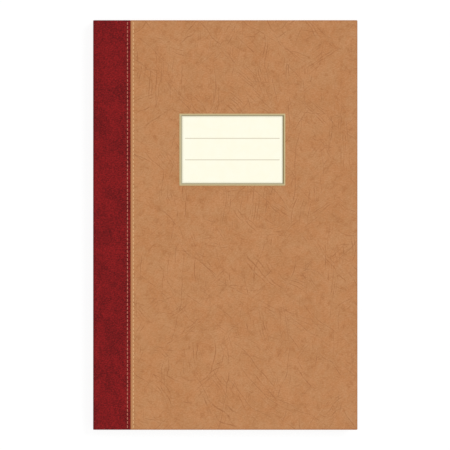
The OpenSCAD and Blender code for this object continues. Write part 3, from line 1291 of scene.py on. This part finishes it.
@dataclass
class Case:
    """One cover of the case: board, tan and red coverings, stitch rows, gauze and endpaper.

    Sizes are in metres. lap is how far the red is let in under the tan hem, ease how far the ends handed to
    bend reach past the shoulder, and the folds are the depths of the folded edge at the joint and at the
    spine. The stitches' spreads are mean and deviation of their lean, their shift and their stretch.
    """

    sizes: Sizes
    side: Side
    rim_inset: float = 4.0 * MM
    outer_edge: float = 0.55 * MM
    inner_edge: float = 0.45 * MM
    corner: float = 0.7 * MM
    # painted shade on rounded edges: the width where it fades out, its least share on the rounds, its share
    # on the shoulder
    edge_shade_fade: float = 1.2 * MM
    least_edge_shade: float = 0.4
    shoulder_shade: float = 0.6
    hem_lift: float = 0.11 * MM
    hem: Plan = (2.2 * MM, 3.6 * MM)
    hem_depth: float = 1.2 * MM
    roll: float = 0.2 * MM
    dent_depth: float = 0.07 * MM
    dent_width: float = 0.5 * MM
    groove: float = 0.18 * MM
    lap: float = 0.24 * MM
    joint_fold: float = 0.72 * MM
    spine_fold: float = 1.15 * MM
    turned_in: Plan = (9.0 * MM, 4.0 * MM)
    ease: float = 0.67 * MM
    stitch_pitch: float = 3.28 * MM
    stitch_length: float = 2.5 * MM
    stitch_half: float = 0.16 * MM
    stitch_power: int = 4
    stitch_depth: float = 0.17 * MM
    stitch_dive: float = 0.10 * MM
    stitch_spreads: tuple[Plan, Plan, Plan] = ((0.0, 0.006), (0.0, 0.01 * MM), (1.0, 0.03))
    board_play: float = 0.02 * MM
    board_edge: float = 0.5 * MM
    board_corner: float = 0.8 * MM
    gauze: float = 0.16 * MM
    gauze_inset: float = 0.15 * MM
    gauze_radius: float = 0.45 * MM
    gauze_bend: Plan = (0.0, 1.2 * MM)
    paper: float = 0.11 * MM
    paper_start: float = 0.55 * MM
    paper_air: float = 0.01 * MM
    paper_bend: Plan = (0.5 * MM, 1.4 * MM)
    well: float = 0.17 * MM
    well_inset: float = 15.0 * MM
    back_pattern: float = 0.7

    @property
    def cover(self) -> str:
        """Body of this cover."""
        return self.side.node("cover")

    def at(self, x: float, depth: float) -> Point:
        """Point on the middle plane at a depth below the outer face."""
        return (x, 0.0, float(self.sizes.height(self.side, depth)))

    def joint_bend(self, reach: Plan, depth: float) -> tuple[Point, Point]:
        """Start and end of a bend, each a distance past the joint's axis, at a depth."""
        return tuple(self.at(self.sizes.joint_x + way, depth) for way in reach)

    def own(self, *names: str) -> list[str]:
        """Names of this cover's solids."""
        return [self.side.node(name) for name in names]

    def row_x(self, name: str) -> float:
        """Line of a row of stitches."""
        low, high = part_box(self.side.node(name))
        return (low.x + high.x) / 2

    def grid(self, x: Array, y: Array, depth: Array, surface: Array, outward: bool = True) -> Patch:
        """Points on this cover as a patch that faces out of the notebook or into it."""
        points = np.stack(np.broadcast_arrays(x, y, self.sizes.height(self.side, depth)), -1)
        return Patch(points, surface, turned=self.side.on_top != outward)

    def dent(self, x: Array, name: str) -> Array:
        """Shallow valley that a row of stitches pulls into the covering: a bell curve across the row."""
        return self.dent_depth * np.exp(-(((x - self.row_x(name)) / self.dent_width) ** 2))

    def rounded_edge_shade(self, angles: Array) -> tuple[Array, Array]:
        """Painted shade over the two quarter rounds of an edge, most where they meet."""
        more = 1.0 - self.least_edge_shade
        return self.least_edge_shade + more * np.sin(angles), self.least_edge_shade + more * np.cos(angles)

    def tan_drop(self, x: Array) -> Array:
        """Depth of the tan face below its plane: a lifted hem, rolled down at the seam on a quarter round.

        Args:
            x: Where to find it.

        Returns:
            The depth at each x.
        """
        out = x - self.sizes.seam_x
        edge = np.clip(self.roll - out, 0.0, self.roll)
        rolled = self.roll - np.sqrt(self.roll**2 - edge**2)
        lifted = self.hem_lift * (1.0 - rise(out, *self.hem))
        return rolled - lifted + self.dent(x, "tan_stitches")

    def build_tan(self) -> None:
        """Tan covering: a hook-shaped profile carried round head, fore edge and tail, and the outer face."""
        s = self.sizes
        head = s.half_height - self.rim_inset
        fore = s.fore_x - self.rim_inset
        angles = quarter(EDGE_STEPS)
        out = np.concatenate([
            [0.0],
            self.rim_inset - self.inner_edge * (1.0 - np.sin(angles)),
            self.rim_inset - self.outer_edge * (1.0 - np.cos(angles)),
            [self.rim_inset - self.outer_edge - self.edge_shade_fade, 0.0],
        ])
        depth = np.concatenate([
            [s.folded_depth],
            s.folded_depth - self.inner_edge * (1.0 - np.cos(angles)),
            s.face + self.outer_edge * (1.0 - np.sin(angles)),
            [s.face, s.face],
        ])
        # painted shade over the tan covering's rounded edges
        edge_shade = np.concatenate([[0.0], *self.rounded_edge_shade(angles), [0.0, 0.0]])
        # columns stand closest where the edge rolls down and where the hem ends
        near = np.array([0.0, 0.02, 0.06, 0.12, 0.2, 0.5, 1.0, 1.5,
                         1.8, 2.05, 2.3, 2.55, 2.8, 3.2, 3.7, 5.0])
        xs = np.concatenate([s.seam_x + near * MM, np.linspace(s.seam_x + 14 * MM, fore, 9)])
        ys = np.linspace(head, -head, 19)
        rim = Rim.join(
            Rim.along(line(xs, head), (0.0, 1.0)),
            Rim.corner((fore, head), 90.0, 0.0),
            Rim.along(line(ys, fore)[:, ::-1], (1.0, 0.0)),
            Rim.corner((fore, -head), 0.0, -90.0),
            Rim.along(line(xs[::-1], -head), (0.0, -1.0)),
        )
        plan = rim.plan(out, self.corner)
        outside = rise(-depth, -self.hem_depth, -s.face)[:, None]
        drop = self.tan_drop(rim.base[:, 0])
        length = run_length(np.stack([out, depth], -1))
        unrolled = (length[-1] - length)[:, None, None]
        start = np.array([s.seam_x, 0.0 if self.side.on_top else -self.back_pattern])
        band = self.grid(plan[..., 0], plan[..., 1], depth[:, None] + drop * outside,
                         rim.base + unrolled * rim.turn - start)
        band.edge_shade = np.broadcast_to(edge_shade[:, None], plan.shape[:2])
        flat = lattice(xs, ys)
        face = self.grid(flat[..., 0], flat[..., 1], s.face + self.tan_drop(flat[..., 0]), flat - start)
        face.turned = not face.turned
        piece = make_piece(self.side.node("tan_covering"), [band, face], TAN_HIDE)
        thicken(piece, s.skin)
        settle(piece, self.cover, "tan_leatherette", *self.own("side_cover"))

    def red_path(self) -> tuple[Array, Array, Array, Array]:
        """Path of the red covering's outer face across the notebook.

        It starts under the tan hem, runs along the board, dips into the joint on a cosine, goes round the
        shoulder on a quarter ellipse and climbs the spine to its middle.

        Returns:
            Points of the path as x and depth, and at each the inward direction, the depth of the folded edge
            and how far the covering is let in under the tan hem.
        """
        s = self.sizes
        seam = s.seam_x
        row = self.row_x("red_stitches")
        # stations stand closest at the seam, at the stitches and in the joint
        flat = stations(
            (seam + 0.8 * MM, seam + 0.2 * MM, 2),
            (seam + 0.2 * MM, seam - 0.5 * MM, 7),
            (seam - 0.5 * MM, row + 1.2 * MM, 2),
            (row + 1.2 * MM, row - 1.2 * MM, 10),
            (row - 1.2 * MM, s.board_x + 1.0 * MM, 8),
            (s.board_x + 1.0 * MM, s.board_x, 4),
            (s.board_x, s.joint_x, 18),
        )
        under = self.lap * rise(flat, seam - 0.45 * MM, seam + 0.15 * MM)
        share = np.clip((s.board_x - flat) / (s.board_x - s.joint_x), 0.0, 1.0)
        dip = self.groove * (1.0 - np.cos(2.0 * math.pi * share)) / 2.0
        flat_depth = s.face + under + dip + self.dent(flat, "red_stitches")
        deeper = s.folded_depth - s.face - self.joint_fold
        on_board = rise(flat, s.board_x - 1.2 * MM, s.board_x + 0.2 * MM)
        flat_fold = self.joint_fold + deeper * on_board - 2.0 * under
        angles = quarter(12)[1:]
        round_x, round_depth = s.joint_x - s.spine_x, s.shoulder - s.face
        arc_fold = self.joint_fold + (self.spine_fold - self.joint_fold) * rise(angles, 0.0, math.pi / 2)
        climb = np.linspace(s.shoulder, s.thickness / 2, 7)[1:]
        path = np.concatenate([
            np.stack([flat, flat_depth], -1),
            np.stack([s.joint_x - round_x * np.sin(angles), s.shoulder - round_depth * np.cos(angles)], -1),
            line(climb, s.spine_x)[:, ::-1],
        ])
        inward = np.concatenate([
            np.tile([0.0, 1.0], (len(flat), 1)),
            np.stack([np.sin(angles), np.cos(angles)], -1),
            np.tile([1.0, 0.0], (len(climb), 1)),
        ])
        fold = np.concatenate([flat_fold, arc_fold, np.full_like(climb, self.spine_fold)])
        return path, inward, fold, np.concatenate([under, np.zeros(len(path) - len(under))])

    def build_red(self) -> None:
        """Red covering from the seam to the middle of the spine.

        The path across the notebook is carried along its height, and at head and tail it folds over the edge
        on two quarter rounds, inward along the path's own inward direction.
        """
        s = self.sizes
        path, inward, fold, under = self.red_path()
        angles = quarter(EDGE_STEPS)
        deep = fold[:, None]
        radius = np.minimum(self.outer_edge, deep / 2)
        top = s.half_height - under[:, None]
        head_y = np.concatenate([
            top - np.array(self.turned_in),
            top - radius + radius * np.sin(angles),
            top - radius + radius * np.cos(angles),
        ], 1)
        head_in = np.concatenate([
            np.repeat(deep, 2, 1),
            deep - radius + radius * np.cos(angles),
            radius - radius * np.sin(angles),
        ], 1)
        level = s.half_height - self.outer_edge - self.edge_shade_fade
        run = np.tile(np.linspace(level, -level, 25), (len(path), 1))
        y = np.concatenate([head_y, run, -head_y[:, ::-1]], 1)
        sunk = np.concatenate([head_in, np.zeros_like(run), head_in[:, ::-1]], 1)
        length = run_length(path)
        across = (length[-1] - length)[:, None] * (1.0 if self.side.on_top else -1.0)
        surface = np.stack(np.broadcast_arrays(across, y + np.sign(y) * sunk), -1)
        sheet = self.grid(path[:, :1] + inward[:, :1] * sunk, y, path[:, 1:] + inward[:, 1:] * sunk, surface)
        # painted shade over the rounded head and tail edges and the spine's shoulder
        edge = np.concatenate([[0.0, 0.0], *self.rounded_edge_shade(angles)])
        along_y = np.concatenate([edge, np.zeros(run.shape[1]), edge[::-1]])
        shoulder = 2.0 * inward[:, 0] * inward[:, 1]
        sheet.edge_shade = np.maximum(along_y, self.shoulder_shade * shoulder[:, None])
        piece = make_piece(self.side.node("red_covering"), [sheet], RED_HIDE)
        thicken(piece, s.skin)
        start = self.at(s.spine_x - self.ease, s.shoulder + self.ease)
        end = self.at(s.joint_x + self.ease, -self.ease)
        middle = ["spine_cover"] if self.side.on_top else []
        bend(piece, ("spine", self.cover), (start, end), "red_leatherette",
             *self.own("quarter_cover", "joint_cover"), *middle)

    def build_stitches(self, name: str, finish: Finish, slot: str, seed: int) -> None:
        """One row of stitches, each a flat capsule that bows up in its middle and dives in at both ends.

        Across the thread it is an ellipse, and its half width follows a power curve along the stitch.

        Args:
            name: Solid that the row stands for.
            finish: Finish of the thread.
            slot: Material slot of the record.
            seed: Seed of the small differences between stitches.
        """
        low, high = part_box(self.side.node(name))
        half = (high.x - low.x) / 2
        count = round((high.y - low.y) / self.stitch_pitch)
        middle = (np.arange(count) - (count - 1) / 2) * self.stitch_pitch
        draw = np.random.default_rng(seed)
        lean, shift, stretch = (draw.normal(*spread, count)[:, None, None] for spread in self.stitch_spreads)
        along = np.sin(np.linspace(-math.pi / 2, math.pi / 2, 8))[None, :, None]
        around = np.linspace(0.0, 2.0 * math.pi, 9)
        taper = np.sqrt(1.0 - np.abs(along) ** self.stitch_power)
        along_y = along * self.stitch_length / 2 * stretch
        x = self.row_x(name) + shift + half * taper * np.cos(around) + lean * along_y
        y = middle[:, None, None] + along_y
        depth = self.stitch_depth + self.stitch_dive * along**2 - self.stitch_half * taper * np.sin(around)
        rows = self.grid(x, y, depth, np.stack(np.broadcast_arrays(y, around * half), -1))
        piece = make_piece(self.side.node(name.replace("stitches", "thread")), [rows], finish, SMOOTH)
        settle(piece, self.cover, slot, *self.own(name))

    def build_board(self) -> None:
        """Grey board with softened edges under the coverings."""
        s = self.sizes
        gap = s.face + self.lap + s.skin + self.board_play
        depths = (gap, s.folded_depth + s.face - gap)
        low, high = sorted(float(s.height(self.side, depth)) for depth in depths)
        edge = s.half_height - gap
        patches = plate((s.board_x, -edge, low), (s.fore_x - gap, edge, high),
                        self.board_edge, self.board_corner)
        piece = make_piece(self.side.node("grey_board"), patches, GREYBOARD)
        settle(piece, self.cover, "greyboard", *self.own("board"))

    def build_gauze(self) -> None:
        """Gauze from the middle of the back, round the joint on a small arc, on to the board."""
        s = self.sizes
        middle_x = s.gauze_x + self.gauze_inset
        level = s.folded_depth - self.gauze_inset
        radius = self.gauze_radius
        angles = quarter(EDGE_STEPS)
        down = np.linspace(s.thickness / 2, level + radius, 5)[:-1]
        start = middle_x + radius
        near = start + FINE
        out = stations((start, near, 12), (near, s.board_x, 6), (s.board_x, s.gauze_end_x, 5))[1:]
        path = np.concatenate([
            line(down, middle_x)[:, ::-1],
            np.stack([start - radius * np.cos(angles), level + radius * (1.0 - np.sin(angles))], -1),
            line(out, level),
        ])
        y = np.linspace(-s.gauze_half, s.gauze_half, 9)
        length = run_length(path)
        sheet = self.grid(path[:, :1], y, path[:, 1:], lattice(length, y), outward=False)
        piece = make_piece(self.side.node("gauze"), [sheet], GAUZE)
        thicken(piece, self.gauze, 0.0)
        self.side.node("grey_board")
        middle = ["mull"] if self.side.on_top else []
        bend(piece, ("spine", self.cover), self.joint_bend(self.gauze_bend, level), "gauze",
             *self.own("mull_hinge", "mull_flap"), *middle)

    def build_endpaper(self) -> None:
        """Endpaper glued to the board, from the fold to the fore edge.

        Its level sinks by a step inside the folded-in edges of the coverings and past the gauze flap.
        """
        s = self.sizes
        start = s.fold_x + self.paper_start
        flap = s.gauze_end_x
        inner_x = s.fore_x - self.well_inset
        inner_y = s.half_height - self.well_inset
        # stations stand closest at the fold and at the steps into the well
        x = stations(
            (start, start + FINE, 14),
            (start + FINE, flap - 1.0 * MM, 10),
            (flap - 1.0 * MM, flap + 2.0 * MM, 6),
            (flap + 2.0 * MM, inner_x - 2.0 * MM, 8),
            (inner_x - 2.0 * MM, inner_x + 1.0 * MM, 6),
            (inner_x + 1.0 * MM, s.page_x, 3),
        )
        half_y = stations(
            (0.0, inner_y - 2.0 * MM, 6),
            (inner_y - 2.0 * MM, inner_y + 1.0 * MM, 6),
            (inner_y + 1.0 * MM, s.page_half, 3),
        )
        y = np.concatenate([-half_y[:0:-1], half_y])
        past_flap = rise(x, flap - 0.5 * MM, flap + 1.5 * MM)
        across = past_flap * (1.0 - rise(x, inner_x - 1.5 * MM, inner_x + 0.5 * MM))
        up = 1.0 - rise(np.abs(y), inner_y - 1.5 * MM, inner_y + 0.5 * MM)
        depth = s.paper_depth - self.paper_air - self.well * across[:, None] * up
        flat = lattice(x, y)
        sheet = self.grid(flat[..., 0], flat[..., 1], depth, flat, outward=False)
        piece = make_piece(self.side.node("endpaper"), [sheet], ENDPAPER)
        thicken(piece, self.paper)
        bend(piece, ("spine", self.cover), self.joint_bend(self.paper_bend, s.paper_depth), "endpaper",
             *self.own("pastedown", "endpaper_hinge"))

    def build(self) -> None:
        """Make every piece of this cover."""
        self.build_board()
        self.build_tan()
        self.build_red()
        self.build_stitches("red_stitches", RED_ROW_THREAD, "red_thread", 11)
        self.build_stitches("tan_stitches", TAN_ROW_THREAD, "tan_thread", 23)
        self.build_gauze()
        self.build_endpaper()


@dataclass
class Label:
    """Title label on the front cover: a moulded frame round a cream card.

    Heights count from the cover's outer face. lip is how far the frame covers the card, taller how much more
    it covers at head and tail, and light the direction in plan of the painted light on the frame's inner
    line.
    """

    sizes: Sizes
    frame_top: float = 0.20 * MM
    card_top: float = 0.06 * MM
    lip: float = 0.25 * MM
    taller: float = 0.2 * MM
    bevel: float = 1.15 * MM
    edge: float = 0.14 * MM
    corner: float = 0.6 * MM
    card_edge: float = 0.04 * MM
    card_corner: float = 0.3 * MM
    foot: float = -0.3 * MM
    light: Plan = (1.0, 0.3)

    def build_frame(self) -> None:
        """Frame: a profile with inner bevel, level band and rounded outer edge, carried round the card."""
        low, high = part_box("label_frame")
        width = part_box("label_card")[0].x - low.x + self.lip
        inset = width + self.corner
        rim = Rim.box((low.x + inset, low.y + inset), (high.x - inset, high.y - inset))
        slope = np.linspace(0.0, 1.0, 6)
        outer = quarter(4)
        out = np.concatenate([
            [0.0], self.bevel * slope, [(self.bevel + width) / 2],
            width - self.edge * (1.0 - np.sin(outer)), [width, 0.0],
        ])
        height = np.concatenate([
            [self.foot], self.card_top + (self.frame_top - self.card_top) * rise(slope, 0.0, 1.0),
            [self.frame_top], self.frame_top - self.edge * (1.0 - np.cos(outer)), [self.foot, self.foot],
        ])
        plan = rim.plan(self.corner + out, self.corner)
        plan[..., 1] += self.taller * (1.0 - out / width)[:, None] * rim.straight[:, 1]
        # painted light: each side of the frame gets a shade from how it faces the light
        shade = -(rim.turn @ np.array(self.light)) / np.linalg.norm(self.light) * MM
        surface = np.stack(np.broadcast_arrays(out[:, None], shade), -1)
        band = Patch(raised(plan, self.sizes.thickness + height), surface)
        piece = make_piece("label_moulding", [band], MOULDING)
        settle(piece, "front_cover", "label_frame", "label_frame")

    def build_card(self) -> None:
        """Cream card that fills the frame."""
        low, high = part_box("label_card")
        bottom, top = (self.sizes.thickness + height for height in (self.foot, self.card_top))
        patches = plate((low.x, low.y, bottom), (high.x, high.y, top), self.card_edge, self.card_corner)
        piece = make_piece("title_card", patches, TITLE_CARD)
        settle(piece, "front_cover", "label_card", "label_card")

    def build(self) -> None:
        """Make the frame and the card."""
        self.build_frame()
        self.build_card()


@dataclass
class Block:
    """Sewn leaves: folded sheets in sections, two flyleaves, and a band at head and tail.

    Sizes are in metres. fold_play is the air at a section's fold, and each bend's ends, handed to bend, lie
    at distances from the leaf's joint.
    """

    sizes: Sizes
    sheets: int = 4
    leaf: float = 0.09 * MM
    paper: float = 0.076 * MM
    fold_play: float = 0.03 * MM
    section_bend: Plan = (-1.0 * MM, 1.6 * MM)
    flyleaf: float = 0.11 * MM
    flyleaf_bend: Plan = (-0.6 * MM, 1.4 * MM)
    flyleaf_start: float = 0.3 * MM
    flyleaf_overlap: float = 0.25 * MM
    glue_depth: float = 0.065 * MM
    pattern_start: float = 0.5
    bead: float = 0.9 * MM
    bead_power: int = 40
    ripple: float = 0.07
    tape_half: float = 0.07 * MM
    tape_inset: float = 0.13 * MM
    tape_short: float = 0.1 * MM

    def leaf_bend(self, piece: Piece, body: str, reach: Plan, level: float, slot: str, *nodes: str) -> None:
        """Work out the ends of a leaf's bend, a reach to both sides of its joint, and hand the leaf to bend
        with them.

        Args:
            piece: The leaf or section.
            body: The body whose bend joint places the bend.
            reach: Start and end of the bend, as distances from the joint.
            level: Height of the leaf.
            slot: Material slot of the record.
            nodes: Solids that the piece stands for.
        """
        x = joint(f"{body}_bend")["pos_m"][0]
        ends = tuple((x + way, 0.0, level) for way in reach)
        bend(piece, ("spine", body), ends, slot, *nodes)

    def build_section(self, name: str) -> None:
        """One section: folded sheets one inside the other, carried along the notebook's height.

        Args:
            name: Solid and body of the section.
        """
        s = self.sizes
        low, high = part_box(name)
        bend_x = joint(f"{name}_bend")["pos_m"][0]
        middle = (low.z + high.z) / 2
        fold_x = s.fold_x + (high.z - low.z) / 2 + self.fold_play
        leaf = stations((fold_x, bend_x - 1.0 * MM, 3), (bend_x - 1.0 * MM, bend_x + 2.2 * MM, 12),
                        (bend_x + 2.2 * MM, s.page_x, 6))
        y = np.linspace(-s.page_half, s.page_half, 5)
        patches = []
        for number in range(self.sheets):
            half = (number + 0.5) * self.leaf
            path = folded_path(leaf[::-1], leaf, (middle - half, middle + half), 6)
            length = run_length(path)
            patches.append(Patch.carried(path, length - length[-1] / 2, y))
        piece = make_piece(f"{name}_sheets", patches, PAGE_PAPER)
        thicken(piece, self.paper, 0.0)
        folds = ["section_folds"] if name == "section_01" else []
        self.leaf_bend(piece, name, self.section_bend, middle, "page_paper", name, *folds)

    def build_flyleaf(self, side: Side) -> None:
        """Free endpaper leaf, folded round at the joint to meet the glued half on a half circle.

        Args:
            side: The cover that it lies under.
        """
        s = self.sizes
        name = side.node("flyleaf")
        low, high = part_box(name)
        bend_x = joint(f"{name}_bend")["pos_m"][0]
        leaf_level = (low.z + high.z) / 2
        glued_level = float(s.height(side, s.paper_depth - self.glue_depth))
        start = s.fold_x + self.flyleaf_start
        short = np.array([start + self.flyleaf_overlap, start])
        long = stations((start, bend_x + FINE, 14), (bend_x + FINE, s.page_x, 6))
        path = folded_path(short, long, (glued_level, leaf_level), 8)
        y = np.linspace(-s.page_half, s.page_half, 5)
        patch = Patch.carried(path, run_length(path) + self.pattern_start, y)
        piece = make_piece(side.node("free_leaf"), [patch], ENDPAPER)
        thicken(piece, self.flyleaf, 0.0)
        folds = ["endpaper_folds"] if side.on_top else []
        self.leaf_bend(piece, name, self.flyleaf_bend, leaf_level, "endpaper", name, *folds)

    def build_band(self, name: str, sign: float) -> None:
        """Head or tail band: a wound bead whose radius ripples along it, and the flat tape that holds it.

        The bead's radius follows a cosine along it, and at both ends it closes on a steep power curve.

        Args:
            name: Solid that it stands for.
            sign: 1 at the head and -1 at the tail.
        """
        low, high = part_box(name)
        outer_y, inner_y = (high.y, low.y) if sign > 0 else (low.y, high.y)
        edge = outer_y - sign * self.bead
        length = high.z - low.z
        along = np.linspace(0.0, 1.0, 73)[:, None]
        around = np.linspace(0.0, 2.0 * math.pi, 15)
        ends = np.sqrt(np.clip(1.0 - (2.0 * along - 1.0) ** self.bead_power, 0.0, 1.0))
        waves = 0.5 + 0.5 * np.cos(2.0 * math.pi * along * length / (BAND_CLOTH.stripe * MM))
        radius = self.bead * ends * (1.0 - self.ripple * waves)
        x = high.x - self.bead + radius * np.cos(around)
        points = np.broadcast_arrays(x, edge + radius * np.sin(around), low.z + along * length)
        surface = np.broadcast_arrays(along * length, around * self.bead)
        bead = Patch(np.stack(points, -1), np.stack(surface, -1), turned=True)
        size = np.array([0.0, 1.0, 1.0, 0.0])[:, None]
        loop = np.array([[-1.0, -1.0], [1.0, -1.0], [1.0, 1.0], [-1.0, 1.0], [-1.0, -1.0]])
        tape_x = low.x + self.tape_inset + self.tape_half * size * loop[:, 0]
        tape_z = (low.z + high.z) / 2 + (length / 2 - self.tape_short) * size * loop[:, 1]
        tape_y = np.broadcast_to(np.array([inner_y, inner_y, edge, edge])[:, None], tape_x.shape)
        tape = Patch(np.stack([tape_x, tape_y, tape_z], -1), np.stack([tape_z, tape_y], -1), turned=sign < 0)
        piece = make_piece(name.replace("_", "_wound_"), [bead, tape], BAND_CLOTH)
        settle(piece, "spine", "band_cloth", name)

    def build(self) -> None:
        """Make all sections, flyleaves and bands."""
        for name in sorted(frame["nodes"]):
            if name.startswith("section_") and name[-1].isdigit():
                self.build_section(name)
        for side in Side:
            self.build_flyleaf(side)
        self.build_band("head_band", 1.0)
        self.build_band("tail_band", -1.0)


@dataclass
class Back:
    """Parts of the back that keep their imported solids: spine card, kraft lining and sewing thread."""

    spine_card: Finish = SPINE_CARD
    lining: Finish = KRAFT
    thread: Finish = SEWING_THREAD

    def dress(self, name: str, finish: Finish) -> None:
        """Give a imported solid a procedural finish.

        Args:
            name: The solid.
            finish: Its finish.
        """
        for slot in frame["nodes"][name].material_slots:
            slot.material = finish.material()
        LOG.info("%s: packed solid in %s", name, finish.name)

    def build(self) -> None:
        """Dress the three solids."""
        self.dress("spine_inlay", self.spine_card)
        self.dress("spine_lining", self.lining)
        self.dress("sewing_thread", self.thread)


@dataclass
class Studio:
    """Pale floor, soft light and a camera that looks straight down on the front cover.

    bounce is the floor's grey in the light that it throws back; shadow and glow are what the camera sees.
    """

    sizes: Sizes
    frame_width: float = 362.5 * MM
    lens: float = 300.0
    sensor: float = 36.0
    centre: Plan = (-0.21 * MM, 0.0)
    clip: Plan = (0.05, 20.0)
    dome: float = 0.75
    key: float = 1.0
    key_height: float = 52.0
    key_bearing: float = 32.0
    key_spread: float = 18.0
    floor_size: float = 6.0
    floor_drop: float = 0.05 * MM
    bounce: float = 0.8
    shadow: float = 0.15
    glow: float = 0.88

    def build_floor(self) -> None:
        """Wide pale floor that shows white to the camera, with a soft shadow left on it."""
        half = self.floor_size / 2
        corners = [(-half, -half, 0.0), (half, -half, 0.0), (half, half, 0.0), (-half, half, 0.0)]
        mesh = bpy.data.meshes.new("floor")
        mesh.from_pydata(corners, [], [(0, 1, 2, 3)])
        floor = bpy.data.objects.new("floor", mesh)
        floor.location.z = -self.floor_drop
        bpy.context.scene.collection.objects.link(floor)
        material = bpy.data.materials.new("floor white")
        material.use_nodes = True
        material.node_tree.nodes.clear()
        nodes = Nodes(material.node_tree)
        matte, shade = (nodes.add("BsdfDiffuse", {"Color": (grey, grey, grey, 1.0)}).outputs[0]
                        for grey in (self.bounce, self.shadow))
        glow = nodes.add("Emission", {"Color": WHITE, "Strength": self.glow}).outputs[0]
        both = nodes.add("AddShader", {0: shade, 1: glow}).outputs[0]
        share = nodes.add("MixShader", {0: self.seen(nodes), 1: matte, 2: both}).outputs[0]
        nodes.add("OutputMaterial", {"Surface": share})
        mesh.materials.append(material)

    def seen(self, nodes: Nodes) -> Socket:
        """Pick out the rays that carry the background to the camera: straight, mirrored or through.

        Args:
            nodes: Tree to work in.

        Returns:
            1 for those rays and 0 for all others.
        """
        path = nodes.add("LightPath").outputs
        rays = [path[f"Is {kind} Ray"] for kind in ("Glossy", "Transmission", "Camera")]
        return reduce(partial(nodes.math, "MAXIMUM"), rays)

    def build_light(self) -> None:
        """Even dome and one soft key light from the upper right."""
        world = bpy.data.worlds.new("studio")
        bpy.context.scene.world = world
        world.use_nodes = True
        world.node_tree.nodes.clear()
        nodes = Nodes(world.node_tree)
        plain, white = (nodes.add("Background", {"Color": WHITE, "Strength": strength}).outputs[0]
                        for strength in (self.dome, 1.0))
        share = nodes.add("MixShader", {0: self.seen(nodes), 1: plain, 2: white}).outputs[0]
        nodes.add("OutputWorld", {"Surface": share})
        lamp = bpy.data.lights.new("key", "SUN")
        lamp.energy = self.key
        lamp.angle = math.radians(self.key_spread)
        key = bpy.data.objects.new("key", lamp)
        key.rotation_euler = (0.0, math.radians(90.0 - self.key_height), math.radians(self.key_bearing))
        bpy.context.scene.collection.objects.link(key)

    def build_camera(self) -> None:
        """Camera above the front cover with the head of the notebook at the top of the picture."""
        data = bpy.data.cameras.new("camera")
        data.type = "PERSP"
        data.sensor_width = self.sensor
        data.lens = self.lens
        data.clip_start, data.clip_end = self.clip
        camera = bpy.data.objects.new("camera", data)
        camera.location = (*self.centre, self.sizes.thickness + self.frame_width * self.lens / self.sensor)
        bpy.context.scene.collection.objects.link(camera)
        bpy.context.scene.camera = camera

    def build(self) -> None:
        """Set the stage and the plain view transform."""
        self.build_floor()
        self.build_light()
        self.build_camera()
        bpy.context.scene.view_settings.view_transform = "Standard"


def main() -> None:
    """Build the notebook and its studio in order."""
    logging.basicConfig(level=logging.INFO, format="%(name)s: %(message)s")
    sizes = Sizes.from_frame()
    Studio(sizes).build()
    for side in Side:
        Case(sizes, side).build()
    Label(sizes).build()
    Block(sizes).build()
    Back().build()


if __name__ == "__main__":
    main()
